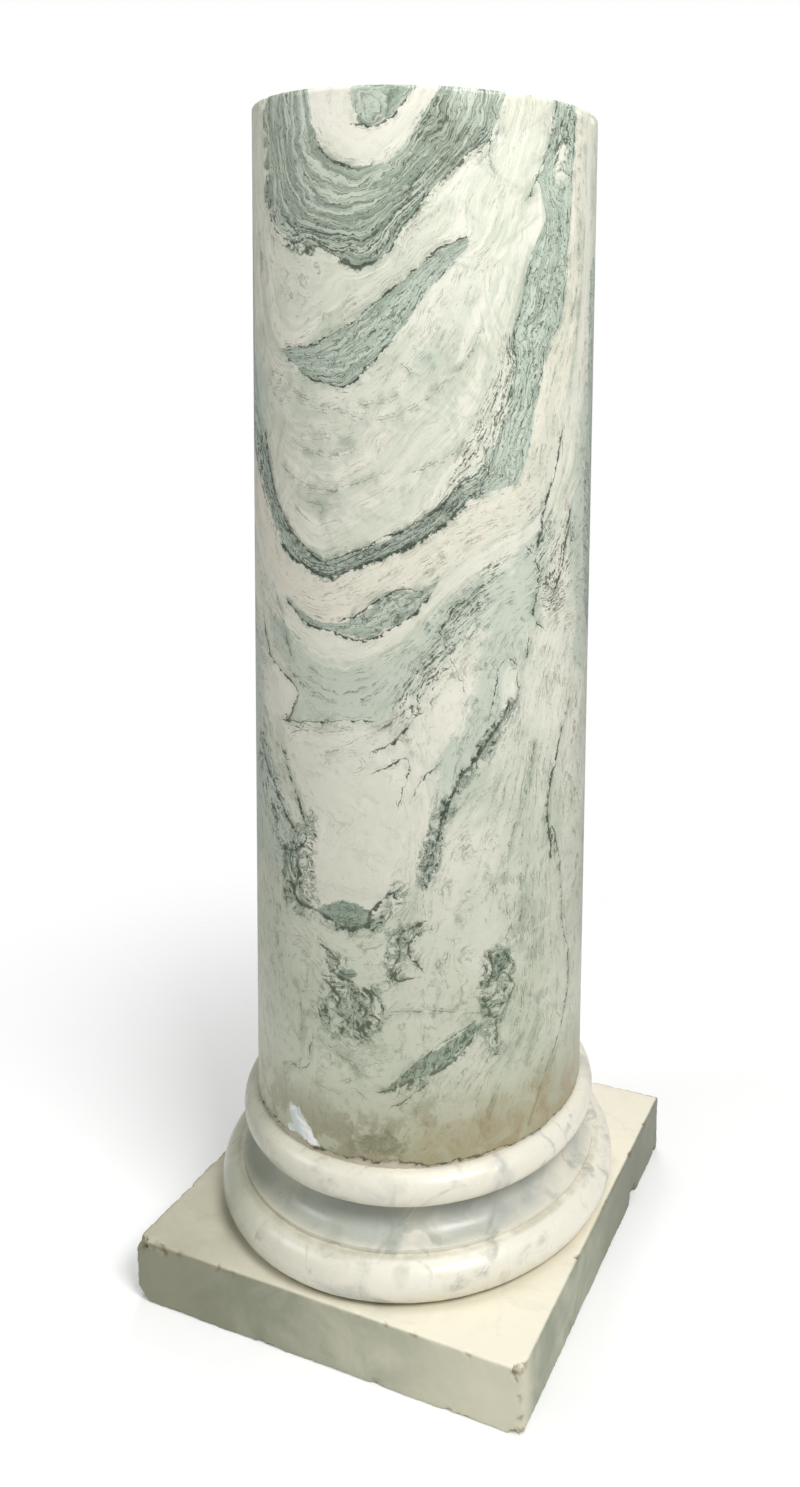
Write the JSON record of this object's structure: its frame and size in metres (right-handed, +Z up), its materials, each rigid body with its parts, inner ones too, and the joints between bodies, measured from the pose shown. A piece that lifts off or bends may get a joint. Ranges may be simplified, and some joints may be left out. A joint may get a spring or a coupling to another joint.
{
  "type": "plain marble column shaft on an attic base",
  "caption": "Plain round column shaft of green-veined marble on a turned white base with two tori and a hollow, over a square plinth.",
  "frame": {"origin": "middle of the plinth's underside, on the surface the column stands on", "axes": "+Z up along the shaft's axis; the plinth's sides are parallel to X and Y, and its worn corner is at low X and low Y"},
  "size_m": [0.4, 0.4, 1.1325],
  "materials": {
    "plinth_marble": "honed cream marble with faint grey clouds, worn and chipped edges",
    "base_marble": "polished white marble with soft grey veins and a thin yellow patina",
    "shaft_marble": "polished cream and green folded marble with dark green veins"
  },
  "bodies": {
    "root": {"plinth": "plinth_marble", "base": "base_marble", "shaft": "shaft_marble"}
  },
  "joints": []
}
